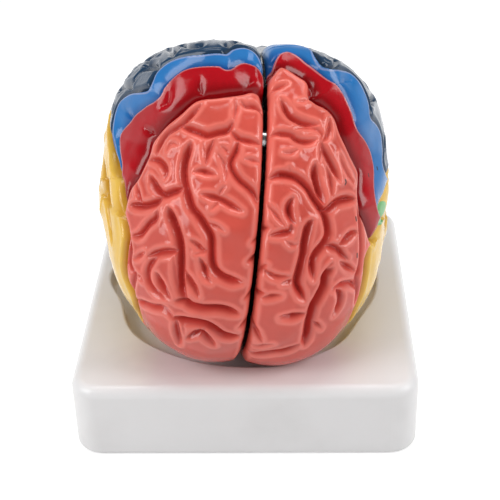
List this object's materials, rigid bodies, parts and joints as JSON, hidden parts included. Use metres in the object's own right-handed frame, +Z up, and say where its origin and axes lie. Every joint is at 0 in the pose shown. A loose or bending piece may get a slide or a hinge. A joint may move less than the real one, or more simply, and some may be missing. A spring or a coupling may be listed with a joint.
{
  "type": "brain anatomy model",
  "caption": "Life-size human brain teaching model in colour-coded halves, resting in a shallow well in a white block base with soft edges.",
  "frame": {"origin": "centre of the base's underside", "axes": "+Z up; the brain's front faces -Y, turned a little from it; +X is the brain's own left"},
  "size_m": [0.16, 0.1745, 0.1718],
  "materials": {
    "base_plastic": "satin white moulded plastic",
    "brain_paint": "gloss paint, with one colour to a lobe or area",
    "pale_plastic": "gloss pale moulded plastic",
    "pin_steel": "ground steel"
  },
  "bodies": {
    "root": {"base": "base_plastic", "left_hemisphere": "brain_paint", "right_hemisphere": "brain_paint", "left_cerebellum": "pale_plastic", "right_cerebellum": "pale_plastic", "left_brainstem": "pale_plastic", "right_brainstem": "pale_plastic", "joining_pins": "pin_steel"}
  },
  "joints": []
}
